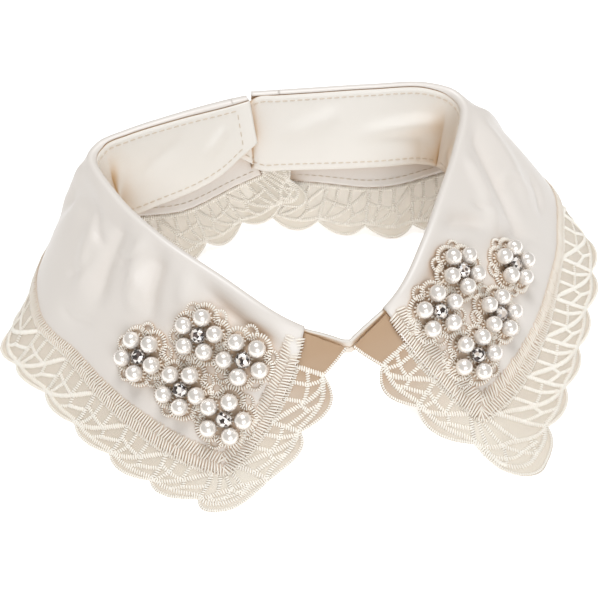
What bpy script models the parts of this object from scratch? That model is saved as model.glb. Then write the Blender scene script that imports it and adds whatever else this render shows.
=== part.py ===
"""Embroidered false collar: a satin neckband and two satin leaves edged with lace, five pearl
flowers on each leaf. It stands on a table by itself, open at the centre back.

Lengths in the tables are millimetres. The front faces -Y, the table top is z = 0 and +X is the
right of someone who looks at the front.
"""
import math

import bmesh
import bpy
import numpy as np
from mathutils import Vector

MM = 0.001

# Walls and gaps, in millimetres.
SATIN_WALL = 1.5
LACE_WALL = 1.2
BAND_WALL = 1.4
STITCH_WALL = 0.8
SEAM_GAP = 0.5
EDGE_GAP = 1.05
HALF_LACE = LACE_WALL / 2
STITCH_GAP = 0.55
RAISED = SATIN_WALL / 2 + STITCH_GAP + STITCH_WALL / 2

# The lace border, measured in from the leaf's outer edge: on the front edge, on it near the neck,
# on the hem at the front corner, the side and the back. Then the cuts between the front edge's
# scallops, as distance from the fold and depth, the length of hem in the corner's lobe, how far
# that lobe swells past the hem line, and the pitch of the scallops that follow it.
LEFT_CUT = {
    "front": 15.5,
    "neck": 20.5,
    "hem": (17.5, 24.1, 19.5),
    "cuts": ((13.0, 7.0), (36.5, 5.0), (57.5, 1.2)),
    "corner": 12.5,
    "swell": 0.4,
    "pitch": 19.2,
}
RIGHT_CUT = {
    "front": 13.5,
    "neck": 17.5,
    "hem": (24.0, 25.0, 19.5),
    "cuts": ((16.5, 5.0), (38.5, 3.8), (61.0, 4.5)),
    "corner": 25.0,
    "swell": 2.0,
    "pitch": 21.5,
}
SIDE = 95.0
TO_BACK = 60.0
BACK_LACE = 15.0
BACK_EASE = 2.0
CORNER_ROUND = 7.0
BACK_REACH = 5.75
CORNER_FAN = 5.0
BACK_PITCH = 21.0
LOBE_DEPTH = 4.2
# The powers that shape the first and the second half of a stretch of edge between two cuts.
STRAIGHT = (0, 0)
SCALLOP = (2, 2)
CORNER_LOBE = (1.5, 4)

# The embroidered zigzag band along the satin's edge.
STITCH_WIDE = 5.2
STITCH_NARROW = 3.2
STITCH_TAPER = (35.0, 95.0)
STITCH_INSET = 0.4
STITCH_TOP = 1.0

# Pearl flowers.
PEARL = 5.8
PEARL_RING = 6.1
PETALS = 5
BACKING_RADIUS = 8.0
BACKING_WAVE = 0.6
BACKING_WALL = 1.0
BACKING_OUT = SATIN_WALL / 2 + SEAM_GAP + BACKING_WALL / 2
PEARL_SUNK = 0.5
PEARL_OUT = BACKING_OUT + BACKING_WALL / 2 + PEARL / 2 - PEARL_SUNK
STONE = 5.0
STONE_HEIGHT = 3.0
STONE_FOOT = 0.85
STONE_CUP = 0.6
STONE_BEVEL = 0.18
STONE_OUT = BACKING_OUT + BACKING_WALL / 2 + SEAM_GAP

# How much of the hem lies flat on the table, how softly it bends down to it, how high the edge is
# where it only touches, and how far past the hem line a swelling scallop may read the surface.
SINK = 3.0
FLATTEN = 2.0
SOFTEN = 0.15
EDGE_LIFT = 0.45
OVERHANG = 1.1

# The middle of the whole collar's outline in the tables' x and y, which becomes the origin.
MIDDLE = (4.457, -17.349)

# Each row is one line down the leaf, from the front edge to the centre back:
# fold x, y, z; middle x, y, z; hem x, y, z; share of the hem that lies flat; roll radius at fold.
LEFT_LEAF = (
    (7.3, -52.4, 31, -8.5, -72.5, 9.5, -43.6, -92.5, 0, 1, 1.3),
    (-14, -45.8, 41, -37, -65.5, 16, -68.5, -75.6, 0, 1, 1.3),
    (-34, -28.4, 48, -61, -46, 20, -88.7, -52.2, 0, 1, 1.3),
    (-52.8, -9, 52, -79, -22, 23, -104.8, -27.8, 0, 1, 1.3),
    (-67, 13.5, 54, -91, 0, 26, -117.5, -6.4, 0, 1, 1.3),
    (-74.3, 33, 55.5, -93, 20, 28, -113, 8, 0, 1, 1.3),
    (-71, 41, 56, -86, 34, 30, -101, 24, 0, 0.8, 1.3),
    (-60, 45.5, 56.8, -66, 40, 30, -74, 29, 0, 0.3, 1.4),
    (-40, 50.5, 58, -41, 44.5, 30, -42, 28, 0, 0, 1.7),
    (-22, 55.2, 58, -17, 53, 30, -10, 42, 3, 0, 2.0),
    (-10.6, 57.2, 57.8, 1.5, 51.8, 35, 13, 40.8, 12.7, 0, 2.0),
)
RIGHT_LEAF = (
    (9.3, -52.4, 31, 27, -70.5, 11, 64, -96.5, 0, 1, 1.3),
    (28, -42, 42, 53, -62, 18, 81, -77, 0, 1, 1.3),
    (42, -24, 49, 71, -42, 22, 99, -51, 0, 1, 1.3),
    (53.5, -4, 52.5, 83, -20, 26, 113, -27, 0, 1, 1.3),
    (64.5, 16.5, 55, 93, 4, 29, 124, -4, 0, 1, 1.3),
    (73, 38, 57.5, 99, 30, 33, 125, 18, 0, 1, 1.3),
    (70.5, 46.5, 58.5, 91, 45, 33, 111, 34, 0, 0.8, 1.3),
    (61, 52, 59, 72, 47.5, 32, 86, 33, 0, 0.3, 1.3),
    (38, 54.8, 59, 42, 47.5, 30, 50, 26.8, 0, 0, 1.3),
    (14, 57.2, 58.6, 14, 52.5, 30, 14, 36.2, 0, 0, 1.3),
    (-9.6, 59.3, 58.2, -12, 56.4, 30, -17, 47.5, 0, 0, 1.3),
)
# The neckband, one strip from the tab at the back left, round the front, to the end tucked
# behind the tab. Each row: place round the neck (-1 back left, 0 centre front, 1 back right, more
# than 1 behind the tab), inward and downward shift of the top edge, drop to the lower edge, how
# far inward the lower edge lies.
NECKBAND = (
    (-1.00, 0, 0, 15.5, 7.5),
    (-0.985, 0, 0, 17.0, 7.4),
    (-0.95, 0, 0, 20.0, 7.5),
    (-0.90, 0, 0, 24.5, 8.3),
    (-0.84, 0, 0, 28.3, 8.8),
    (-0.74, 0, 0, 31.6, 8.4),
    (-0.66, 0, 0, 32.6, 7.5),
    (-0.58, 0, 0, 32.2, 4.9),
    (-0.45, 0, 0, 31.0, 0.0),
    (-0.30, 0, 0, 30.0, -2.0),
    (-0.15, 0, 0, 25.0, -2.6),
    (-0.08, 0, 0, 15.5, -1.8),
    (-0.04, 0, -1.3, 8.5, -1.2),
    (0.00, 0, -1.6, 5.0, -0.8),
    (0.04, 0, -1.3, 8.5, -1.2),
    (0.08, 0, 0, 15.5, -1.8),
    (0.15, 0, 0, 25.0, -2.6),
    (0.30, 0, 0, 30.5, -2.0),
    (0.45, 0, 0, 31.5, 1.0),
    (0.58, 0, 0, 31.5, 6.6),
    (0.66, 0, 0, 30.8, 10.2),
    (0.78, 0, 0, 29.8, 12.2),
    (0.90, 0, 0, 29.5, 11.2),
    (0.95, 0, 0, 29.5, 10.6),
    (0.985, 0, 0, 29.5, 10.0),
    (1.02, 2.05, 3.0, 24.0, 6.2),
    (1.07, 2.05, 3.0, 20.0, 4.8),
    (1.12, 2.05, 3.0, 16.5, 4.2),
)
# Each row is one flower: distance along the hem, height above it, turn in degrees.
LEFT_FLOWERS = (
    (68.7, 44.2, 42),
    (55.5, 61.4, 70),
    (37.6, 61.4, 26),
    (49.5, 42.9, 45),
    (31.6, 39.9, 52),
)
RIGHT_FLOWERS = (
    (56.0, 67.0, 11),
    (77.6, 49.4, 29),
    (32.9, 64.9, 58),
    (52.5, 47.1, 31),
    (30.5, 45.1, 33),
)

# How finely each sheet is divided.
LEAF_ACROSS = 46
LEAF_ROWS = (0, 0.2, 0.4, 0.6, 0.8, 0.94, 1)
ROLL_ANGLES = (140, 95, 50)
ROLL_STEP = 6
PLAIN_STEPS = 3
LOBE_STEPS = 6
CORNER_STEPS = 12
LACE_ROWS = (0, 0.3, 0.65, 1)
STITCH_FRONT_STEPS = 8
STITCH_HEM_STEPS = 40
STITCH_BACK_STEPS = 4
BACKING_CELLS = 6
STONE_SIDES = 12
BAND_ACROSS = 84
BAND_DOWN = 3

SATIN_COLOUR = (0.84, 0.79, 0.72, 1)
BAND_COLOUR = (0.82, 0.76, 0.68, 1)
LACE_COLOUR = (0.80, 0.72, 0.60, 1)
THREAD_COLOUR = (0.85, 0.79, 0.69, 1)
PEARL_COLOUR = (0.90, 0.87, 0.83, 1)
CRYSTAL_COLOUR = (0.55, 0.53, 0.50, 1)


def clear_scene():
    for obj in list(bpy.data.objects):
        bpy.data.objects.remove(obj, do_unlink=True)


def material(name, colour, roughness, metallic=0.0):
    made = bpy.data.materials.new(name)
    made.use_nodes = True
    shader = made.node_tree.nodes["Principled BSDF"]
    shader.inputs["Base Color"].default_value = colour
    shader.inputs["Roughness"].default_value = roughness
    shader.inputs["Metallic"].default_value = metallic
    return made


def smooth(rows, knots, at):
    """Each column of a table as a cubic curve through its values."""
    step = np.diff(knots)[:, None]
    slope = np.diff(rows, axis=0) / step
    inner = (slope[:-1] * step[1:] + slope[1:] * step[:-1]) / (step[:-1] + step[1:])
    tangent = np.vstack([slope[:1], inner, slope[-1:]])
    at = np.clip(at, 0, 1)
    row = np.clip(np.searchsorted(knots, at, side="right") - 1, 0, len(knots) - 2)
    t = ((at - knots[row]) / (knots[row + 1] - knots[row]))[:, None]
    span = step[row]
    return (
        (2 * t**3 - 3 * t**2 + 1) * rows[row]
        + (t**3 - 2 * t**2 + t) * span * tangent[row]
        + (3 * t**2 - 2 * t**3) * rows[row + 1]
        + (t**3 - t**2) * span * tangent[row + 1]
    )


def hinge(height, width):
    """Zero below, the height itself above, and a smooth bend between."""
    bend = (height + width) ** 2 / (4 * width)
    return np.where(height < -width, 0, np.where(height > width, height, bend))


def unit(vectors):
    return vectors / np.linalg.norm(vectors, axis=-1, keepdims=True)


class Leaf:
    """The middle surface of one leaf, read by how far round it (u) and how far down it (v)."""

    def __init__(self, table, facing, cut):
        self.rows = np.array(table, float)
        self.rows[:, [0, 3, 6]] -= MIDDLE[0]
        self.rows[:, [1, 4, 7]] -= MIDDLE[1]
        self.facing = facing
        self.cut = cut
        fold = np.linalg.norm(np.diff(self.rows[:, 0:3], axis=0), axis=1)
        hem = np.linalg.norm(np.diff(self.rows[:, 6:9], axis=0), axis=1)
        self.knots = np.concatenate([[0], np.cumsum(fold + hem)]) / (fold + hem).sum()
        self.u = np.linspace(0, 1, 401)
        grid = self.point(self.u[:, None], np.linspace(0, 1, 41)[None])
        self.width = np.linalg.norm(np.diff(grid, axis=1), axis=2).sum(axis=1)
        along = np.linalg.norm(np.diff(grid[:, -1], axis=0), axis=1)
        self.along = np.concatenate([[0], np.cumsum(along)])
        self.hem = self.along[-1]

    def point(self, u, v):
        u, v = np.broadcast_arrays(np.asarray(u, float), np.asarray(v, float))
        read = smooth(self.rows, self.knots, u.ravel()).reshape(u.shape + (self.rows.shape[1],))
        rest = np.clip(read[..., 9], 0, 1)
        fold, middle, hem = read[..., 0:3], read[..., 3:6], read[..., 6:9]
        lift = HALF_LACE * rest + EDGE_LIFT * (1 - rest)
        hem = hem + np.stack([0 * lift, 0 * lift, EDGE_LIFT * (1 - rest) - SINK * rest], axis=-1)
        pull = 2 * middle - (fold + hem) / 2
        t = v[..., None]
        at = (1 - t) ** 2 * fold + 2 * t * (1 - t) * pull + t**2 * hem
        at[..., 2] = lift + hinge(at[..., 2] - lift, FLATTEN * rest + SOFTEN)
        return at

    def normal(self, u, v):
        """Out of the side that shows."""
        small = 1e-3
        u, v = np.broadcast_arrays(np.asarray(u, float), np.asarray(v, float))
        low, high = np.clip(u - small, 0, 1), np.clip(u + small, 0, 1)
        across = self.point(high, v) - self.point(low, v)
        up, down = np.clip(v - small, 0, OVERHANG), np.clip(v + small, 0, OVERHANG)
        along = self.point(u, down) - self.point(u, up)
        return unit(np.cross(across, along)) * self.facing

    def place(self, along, height, out=0.0):
        """The point this far along the hem and this high above it, moved out of the cloth."""
        u = np.interp(along, self.along, self.u)
        v = np.clip(1 - height / np.interp(u, self.u, self.width), 0, OVERHANG)
        return self.point(u, v) + self.normal(u, v) * np.asarray(out)[..., None]

    def frame(self, along, height):
        """Unit vectors at a place: across the leaf, up it, and out of the side that shows."""
        across = self.place(along + 0.5, height) - self.place(along - 0.5, height)
        out = self.place(along, height, 1.0) - self.place(along, height)
        across = unit(across - across.dot(out) * out)
        return across, np.cross(out, across), out

    def near(self, along, height, across, up, out=0.0):
        """The point at real distances across and up from a place, moved out of the cloth."""
        side, rise, _ = self.frame(along, height)
        steps = (
            self.place(along + 0.5, height) - self.place(along - 0.5, height),
            self.place(along, height + 0.5) - self.place(along, height - 0.5),
        )
        turned = np.array([[step.dot(side), step.dot(rise)] for step in steps]).T
        move = np.linalg.solve(turned, (across, up))
        return self.place(along + move[0], height + move[1], out)

    def high(self, along):
        u = np.interp(along, self.along, self.u)
        return np.interp(u, self.u, self.width)

    def lace_depth(self, along):
        """The hem's lace is as deep as given at the front corner, at the side and at the back."""
        return np.interp(along, (self.cut["front"], SIDE, self.hem - TO_BACK), self.cut["hem"])

    def roll(self, u, angle):
        """A point of the roll over the fold: 0 is the fold, larger angles lie further inside."""
        radius = smooth(self.rows, self.knots, u)[:, 10:11]
        out = self.normal(u, np.zeros_like(u))
        down = unit(self.point(u, np.full_like(u, 0.01)) - self.point(u, np.zeros_like(u)))
        turn = math.radians(angle)
        ring = math.cos(turn) * out - math.sin(turn) * down
        return self.point(u, np.zeros_like(u)) + radius * (ring - out)


def sheet_solid(name, points, wall, finish):
    """A wall of even thickness on a grid of points."""
    across, down = points.shape[0] - 1, points.shape[1] - 1
    bm = bmesh.new()
    bmesh.ops.create_grid(bm, x_segments=across, y_segments=down, size=0.5)
    for vert in bm.verts:
        column = round((vert.co.x + 0.5) * across)
        row = round((vert.co.y + 0.5) * down)
        vert.co = Vector(points[column, row]) * MM
    mesh = bpy.data.meshes.new(name)
    bm.to_mesh(mesh)
    bm.free()
    mesh.shade_smooth()
    mesh.materials.append(finish)
    obj = bpy.data.objects.new(name, mesh)
    bpy.context.collection.objects.link(obj)
    solidify = obj.modifiers.new("wall", "SOLIDIFY")
    solidify.thickness = wall * MM
    solidify.offset = 0
    solidify.use_even_offset = False
    return obj


def border(leaf, inset):
    """Knots of the line where satin meets lace: distance along the hem, height above it."""
    front, back = leaf.cut["front"] + inset, leaf.hem - BACK_LACE - BACK_EASE * inset
    top_front = leaf.cut["neck"] + inset
    return {
        "front top": (top_front, leaf.high(top_front)),
        "front corner": (front, leaf.lace_depth(front) + inset),
        "back corner": (back, leaf.lace_depth(back) + inset),
        "back top": (back, leaf.high(back)),
    }


def front_line(leaf, inset, height):
    """Where the satin's front edge lies at this height above the hem."""
    at = border(leaf, inset)
    (low_place, low), (top_place, top) = at["front corner"], at["front top"]
    return np.interp(height, (low, top), (low_place, top_place))


def make_leaf(side, leaf, finish):
    """The satin: rolled over the fold, down to where the lace starts."""
    inset = SEAM_GAP / 2
    at = border(leaf, inset)
    front = at["front corner"][0]
    back = at["back corner"][0]
    columns = []
    for share in np.linspace(0, 1, LEAF_ACROSS + 1):
        top = at["front top"][0] * (1 - share) + back * share
        low = leaf.lace_depth(front * (1 - share) + back * share) + inset
        fold = np.interp([top], leaf.along, leaf.u)
        column = [leaf.roll(fold, angle)[0] for angle in ROLL_ANGLES]
        for down in LEAF_ROWS:
            height = leaf.high(top) * (1 - down) + low * down
            start = front_line(leaf, inset, height)
            column.append(leaf.place(start * (1 - share) + back * share, height))
        columns.append(column)
    return sheet_solid(f"leaf_{side}", np.array(columns), SATIN_WALL, finish)


def outer_edge(leaf, s):
    """The lace's edge before it is scalloped, and the way in, at a length from the front top."""
    front = leaf.high(0.0) - CORNER_ROUND
    quarter = math.pi / 2 * CORNER_ROUND
    hem = leaf.hem - 2 * CORNER_ROUND
    if s < front:
        return (0, front + CORNER_ROUND - s), (1, 0)
    s -= front
    if s < quarter:
        turn = s / CORNER_ROUND
        way = (math.cos(turn), math.sin(turn))
        return (CORNER_ROUND * (1 - way[0]), CORNER_ROUND * (1 - way[1])), way
    s -= quarter
    if s < hem:
        return (CORNER_ROUND + s, 0), (0, 1)
    s -= hem
    if s < quarter:
        turn = s / CORNER_ROUND
        way = (-math.sin(turn), math.cos(turn))
        return (leaf.hem - CORNER_ROUND * (1 + way[0]), CORNER_ROUND * (1 - way[1])), way
    return (leaf.hem, CORNER_ROUND + s - quarter), (-1, 0)


def spread(start, end, pitch):
    """Even scallops of about the given pitch over a stretch of the edge."""
    count = max(1, round((end - start) / pitch))
    places = [start + (end - start) * (n + 1) / count for n in range(count)]
    return [(place, LOBE_DEPTH, SCALLOP, 0.0, LOBE_STEPS) for place in places]


def lobes(leaf):
    """One row for each stretch of the edge, and the numbers of the two corners' rows.

    A row holds the stretch's end as a length from the front top, the depth of the cut there, the
    powers that shape the stretch, how far it swells past the edge, and its number of steps.
    """
    quarter = math.pi / 2 * CORNER_ROUND
    corner = leaf.high(0.0) - CORNER_ROUND
    far_corner = corner + quarter + leaf.hem - 2 * CORNER_ROUND
    end = far_corner + quarter + leaf.high(leaf.hem) - CORNER_ROUND
    last = corner + quarter + leaf.cut["corner"] - CORNER_ROUND
    far_first, far_last = far_corner - BACK_REACH, far_corner + quarter + BACK_REACH
    plain, *scallops = leaf.cut["cuts"]
    rows = [(0.0, 0.0, STRAIGHT, 0.0, 0), (*plain, STRAIGHT, 0.0, PLAIN_STEPS)]
    rows += [(*cut, SCALLOP, 0.0, LOBE_STEPS) for cut in scallops]
    front_corner = len(rows)
    rows.append((last, LOBE_DEPTH, CORNER_LOBE, leaf.cut["swell"], CORNER_STEPS))
    rows += spread(last, far_first, leaf.cut["pitch"])
    back_corner = len(rows)
    rows.append((far_last, LOBE_DEPTH, SCALLOP, 0.0, LOBE_STEPS))
    rows += spread(far_last, end, BACK_PITCH)
    return rows, front_corner, back_corner


def inner_edge(leaf, rows, front_corner, back_corner):
    """The lace's inner line: length round its outer edge, distance along, rise over the hem's lace."""
    at = border(leaf, -SEAM_GAP / 2)
    a, b = rows[front_corner - 1][0], rows[front_corner][0]
    c, d = rows[back_corner - 1][0], rows[back_corner][0]
    front, low = at["front corner"]
    back, back_low = at["back corner"]
    top, high = at["front top"]
    return (
        (0, top, high - low),
        (a, front + (top - front) * CORNER_FAN / (high - low), CORNER_FAN),
        ((a + b) / 2, front, 0),
        (b, front + CORNER_FAN, 0),
        (c, back - CORNER_FAN, 0),
        ((c + d) / 2, back, 0),
        (d, back, CORNER_FAN),
        (rows[-1][0], back, at["back top"][1] - back_low),
    )


def make_lace(side, leaf, finish):
    """The border on three sides of the satin, with a scalloped outer edge."""
    rows, front_corner, back_corner = lobes(leaf)
    knots = np.array(inner_edge(leaf, rows, front_corner, back_corner))
    edge_points = [(0.0, 0.0)]
    for (start, deep, *_), (stop, deeper, powers, swell, steps) in zip(rows, rows[1:]):
        for share in np.linspace(0, 1, steps + 1)[1:]:
            pinch = abs(2 * share - 1) ** powers[int(share > 0.5)]
            dip = (deep * (1 - share) + deeper * share) * pinch - swell * (1 - pinch)
            edge_points.append((start + (stop - start) * share, dip))
    columns = []
    for length, dip in edge_points:
        edge, way = outer_edge(leaf, length)
        outer = np.array(edge) + np.array(way) * dip
        near = np.interp(length, knots[:, 0], knots[:, 1])
        rise = np.interp(length, knots[:, 0], knots[:, 2])
        inner = np.array([near, leaf.lace_depth(near) - SEAM_GAP / 2 + rise])
        spots = [inner * (1 - down) + outer * down for down in LACE_ROWS]
        columns.append([leaf.place(along, height) for along, height in spots])
    return sheet_solid(f"lace_{side}", np.array(columns), LACE_WALL, finish)


def stitch_width(along):
    """The zigzag band is wide round the front corner and narrow from the side on."""
    return np.interp(along, STITCH_TAPER, (STITCH_WIDE, STITCH_NARROW))


def make_stitch_band(side, leaf, finish):
    """A raised strip that follows the satin's edge: front, hem and back."""
    outer = border(leaf, STITCH_INSET)
    inner_front = border(leaf, STITCH_INSET + STITCH_WIDE)
    inner_back = border(leaf, STITCH_INSET + STITCH_NARROW)
    columns = []

    def add(near, far):
        columns.append([leaf.place(*near, RAISED), leaf.place(*far, RAISED)])

    top = leaf.high(leaf.cut["neck"]) - STITCH_TOP
    for share in np.linspace(0, 1, STITCH_FRONT_STEPS + 1):
        near = top * (1 - share) + outer["front corner"][1] * share
        far = top * (1 - share) + inner_front["front corner"][1] * share
        add(
            (front_line(leaf, STITCH_INSET, near), near),
            (front_line(leaf, STITCH_INSET + STITCH_WIDE, far), far),
        )
    start, stop = outer["front corner"][0], outer["back corner"][0]
    far_start, far_stop = inner_front["front corner"][0], inner_back["back corner"][0]
    for share in np.linspace(0, 1, STITCH_HEM_STEPS + 1)[1:]:
        near = start * (1 - share) + stop * share
        far = far_start * (1 - share) + far_stop * share
        low = leaf.lace_depth(near) + STITCH_INSET
        add((near, low), (far, leaf.lace_depth(far) + STITCH_INSET + stitch_width(far)))
    low, high = outer["back corner"][1], leaf.high(leaf.hem - BACK_LACE) - STITCH_TOP
    far_low = low + STITCH_NARROW
    for share in np.linspace(0, 1, STITCH_BACK_STEPS + 1)[1:]:
        add((stop, low * (1 - share) + high * share), (far_stop, far_low * (1 - share) + high * share))
    return sheet_solid(f"stitch_band_{side}", np.array(columns), STITCH_WALL, finish)


def make_flower(side, number, leaf, spot, finish):
    """A five-petalled backing that follows the satin, with a pearl fused on each petal."""
    along, height, turn = spot
    turn = math.radians(turn)
    steps = np.linspace(-1, 1, BACKING_CELLS + 1)
    columns = []
    for x in steps:
        column = []
        for y in steps:
            angle = math.atan2(y, x)
            petal = BACKING_RADIUS + BACKING_WAVE * math.cos(PETALS * (angle - turn))
            reach = max(abs(x), abs(y)) * petal
            across, up = reach * math.cos(angle), reach * math.sin(angle)
            column.append(leaf.near(along, height, across, up, BACKING_OUT))
        columns.append(column)
    name = f"flower_{side}_{number}"
    flower = sheet_solid(name, np.array(columns), BACKING_WALL, finish)
    bm = bmesh.new()
    for petal in range(PETALS):
        angle = turn + math.tau * petal / PETALS
        across, up = PEARL_RING * math.cos(angle), PEARL_RING * math.sin(angle)
        centre = leaf.near(along, height, across, up, PEARL_OUT)
        made = bmesh.ops.create_icosphere(bm, subdivisions=2, radius=PEARL / 2 * MM)
        bmesh.ops.translate(bm, verts=made["verts"], vec=Vector(centre) * MM)
    mesh = bpy.data.meshes.new(f"{name}_pearls")
    bm.to_mesh(mesh)
    bm.free()
    pearls = bpy.data.objects.new(f"{name}_pearls", mesh)
    bpy.context.collection.objects.link(pearls)
    pearls.hide_render = True
    pearls.display_type = "WIRE"
    join = flower.modifiers.new("pearls", "BOOLEAN")
    join.operation = "UNION"
    join.object = pearls
    return flower


def make_stone(side, number, leaf, spot, finish):
    """A round cut stone in its cup, in the middle of a flower."""
    along, height, _ = spot
    across, up, out = (Vector(way) for way in leaf.frame(along, height))
    bm = bmesh.new()
    made = bmesh.ops.create_cone(
        bm,
        cap_ends=True,
        segments=STONE_SIDES,
        radius1=STONE / 2 * STONE_FOOT * MM,
        radius2=STONE / 2 * MM,
        depth=STONE_HEIGHT * STONE_CUP * MM,
    )
    bmesh.ops.translate(bm, verts=made["verts"], vec=(0, 0, STONE_HEIGHT * STONE_CUP / 2 * MM))
    table = max(bm.faces, key=lambda face: face.calc_center_median().z)
    bmesh.ops.inset_region(bm, faces=[table], thickness=STONE * STONE_BEVEL * MM)
    bmesh.ops.translate(bm, verts=table.verts, vec=(0, 0, STONE_HEIGHT * (1 - STONE_CUP) * MM))
    foot = Vector(leaf.place(along, height, STONE_OUT))
    for vert in bm.verts:
        local = vert.co.copy()
        vert.co = foot * MM + across * local.x + up * local.y + out * local.z
    name = f"stone_{side}_{number}"
    mesh = bpy.data.meshes.new(name)
    bm.to_mesh(mesh)
    bm.free()
    mesh.materials.append(finish)
    obj = bpy.data.objects.new(name, mesh)
    bpy.context.collection.objects.link(obj)
    return obj


def neck_top(left, right, place):
    """The line that the neckband's top edge follows, just under the end of the leaf's roll."""
    if place > 1:
        return left.point(np.array([2 - place]), np.array([0.0]))[0]
    leaf, u = (left, -place) if place < 0 else (right, place)
    last = leaf.roll(np.array([u]), ROLL_ANGLES[0])[0]
    further = leaf.roll(np.array([u]), ROLL_ANGLES[0] + ROLL_STEP)[0]
    return last + unit(further - last) * EDGE_GAP


def make_neckband(left, right, finish):
    rows = np.array(NECKBAND, float)
    knots = (rows[:, 0] - rows[0, 0]) / (rows[-1, 0] - rows[0, 0])
    read = smooth(rows, knots, np.linspace(0, 1, BAND_ACROSS + 1))
    top = np.array([neck_top(left, right, place) for place in read[:, 0]])
    tangent = np.gradient(top[:, :2], axis=0)
    inward = unit(np.stack([-tangent[:, 1], tangent[:, 0], 0 * tangent[:, 0]], axis=1))
    down = np.array([0, 0, -1.0])
    top = top + inward * read[:, 1:2] + down * read[:, 2:3]
    low = top + inward * read[:, 4:5] + down * read[:, 3:4]
    shares = np.linspace(0, 1, BAND_DOWN + 1)
    columns = [[high * (1 - share) + foot * share for share in shares] for high, foot in zip(top, low)]
    return sheet_solid("neckband", np.array(columns), BAND_WALL, finish)


def main():
    clear_scene()
    satin = material("satin", SATIN_COLOUR, 0.42)
    band_satin = material("neckband satin", BAND_COLOUR, 0.45)
    lace = material("lace", LACE_COLOUR, 0.8)
    thread = material("embroidery thread", THREAD_COLOUR, 0.6)
    pearl = material("pearl", PEARL_COLOUR, 0.2)
    crystal = material("crystal in silver cup", CRYSTAL_COLOUR, 0.1, 0.6)
    left = Leaf(LEFT_LEAF, 1, LEFT_CUT)
    right = Leaf(RIGHT_LEAF, -1, RIGHT_CUT)
    make_neckband(left, right, band_satin)
    for side, leaf, flowers in (("left", left, LEFT_FLOWERS), ("right", right, RIGHT_FLOWERS)):
        make_leaf(side, leaf, satin)
        make_lace(side, leaf, lace)
        make_stitch_band(side, leaf, thread)
        for number, spot in enumerate(flowers, start=1):
            make_flower(side, number, leaf, spot, pearl)
            make_stone(side, number, leaf, spot, crystal)


main()
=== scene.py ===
import math

import bmesh
import bpy
import numpy as np
from mathutils import Matrix, Vector


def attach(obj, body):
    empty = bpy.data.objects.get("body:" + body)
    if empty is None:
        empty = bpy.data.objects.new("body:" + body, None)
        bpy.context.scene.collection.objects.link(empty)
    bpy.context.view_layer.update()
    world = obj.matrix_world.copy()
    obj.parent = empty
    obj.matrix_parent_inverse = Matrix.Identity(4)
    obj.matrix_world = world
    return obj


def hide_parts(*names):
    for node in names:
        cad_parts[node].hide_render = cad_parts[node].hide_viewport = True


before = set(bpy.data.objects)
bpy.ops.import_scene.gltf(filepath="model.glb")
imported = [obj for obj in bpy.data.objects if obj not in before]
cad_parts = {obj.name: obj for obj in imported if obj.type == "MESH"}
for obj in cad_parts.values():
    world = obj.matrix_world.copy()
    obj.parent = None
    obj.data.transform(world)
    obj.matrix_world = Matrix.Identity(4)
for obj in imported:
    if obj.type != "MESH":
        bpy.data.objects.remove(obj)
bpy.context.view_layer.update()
mm = 0.001  # the tables below are in millimetres
rng = np.random.default_rng(7)

# The leaves' own surfaces, the same tables that the solids are made from.
# Each row runs down the leaf: fold, middle, hem, share that lies flat, roll radius.
leftTable = (
    (7.3, -52.4, 31, -8.5, -72.5, 9.5, -43.6, -92.5, 0, 1, 1.3),
    (-14, -45.8, 41, -37, -65.5, 16, -68.5, -75.6, 0, 1, 1.3),
    (-34, -28.4, 48, -61, -46, 20, -88.7, -52.2, 0, 1, 1.3),
    (-52.8, -9, 52, -79, -22, 23, -104.8, -27.8, 0, 1, 1.3),
    (-67, 13.5, 54, -91, 0, 26, -117.5, -6.4, 0, 1, 1.3),
    (-74.3, 33, 55.5, -93, 20, 28, -113, 8, 0, 1, 1.3),
    (-71, 41, 56, -86, 34, 30, -101, 24, 0, 0.8, 1.3),
    (-60, 45.5, 56.8, -66, 40, 30, -74, 29, 0, 0.3, 1.4),
    (-40, 50.5, 58, -41, 44.5, 30, -42, 28, 0, 0, 1.7),
    (-22, 55.2, 58, -17, 53, 30, -10, 42, 3, 0, 2.0),
    (-10.6, 57.2, 57.8, 1.5, 51.8, 35, 13, 40.8, 12.7, 0, 2.0),
)
rightTable = (
    (9.3, -52.4, 31, 27, -70.5, 11, 64, -96.5, 0, 1, 1.3),
    (28, -42, 42, 53, -62, 18, 81, -77, 0, 1, 1.3), (42, -24, 49, 71, -42, 22, 99, -51, 0, 1, 1.3),
    (53.5, -4, 52.5, 83, -20, 26, 113, -27, 0, 1, 1.3),
    (64.5, 16.5, 55, 93, 4, 29, 124, -4, 0, 1, 1.3), (73, 38, 57.5, 99, 30, 33, 125, 18, 0, 1, 1.3),
    (70.5, 46.5, 58.5, 91, 45, 33, 111, 34, 0, 0.8, 1.3),
    (61, 52, 59, 72, 47.5, 32, 86, 33, 0, 0.3, 1.3),
    (38, 54.8, 59, 42, 47.5, 30, 50, 26.8, 0, 0, 1.3),
    (14, 57.2, 58.6, 14, 52.5, 30, 14, 36.2, 0, 0, 1.3),
    (-9.6, 59.3, 58.2, -12, 56.4, 30, -17, 47.5, 0, 0, 1.3),
)
middle = (4.457, -17.349)
cloth = {
    "satinWall": 1.5, "laceWall": 1.2, "bandWall": 1.4, "seamGap": 0.5, "edgeGap": 0.12,
    "sink": 3.0, "flatten": 2.0, "soften": 0.15, "edgeLift": 0.45, "overhang": 1.1,
    "rollAngle": 140, "rollStep": 6,
    "backClear": 3.0,  # how far the back lace stays below the fold
}
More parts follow.
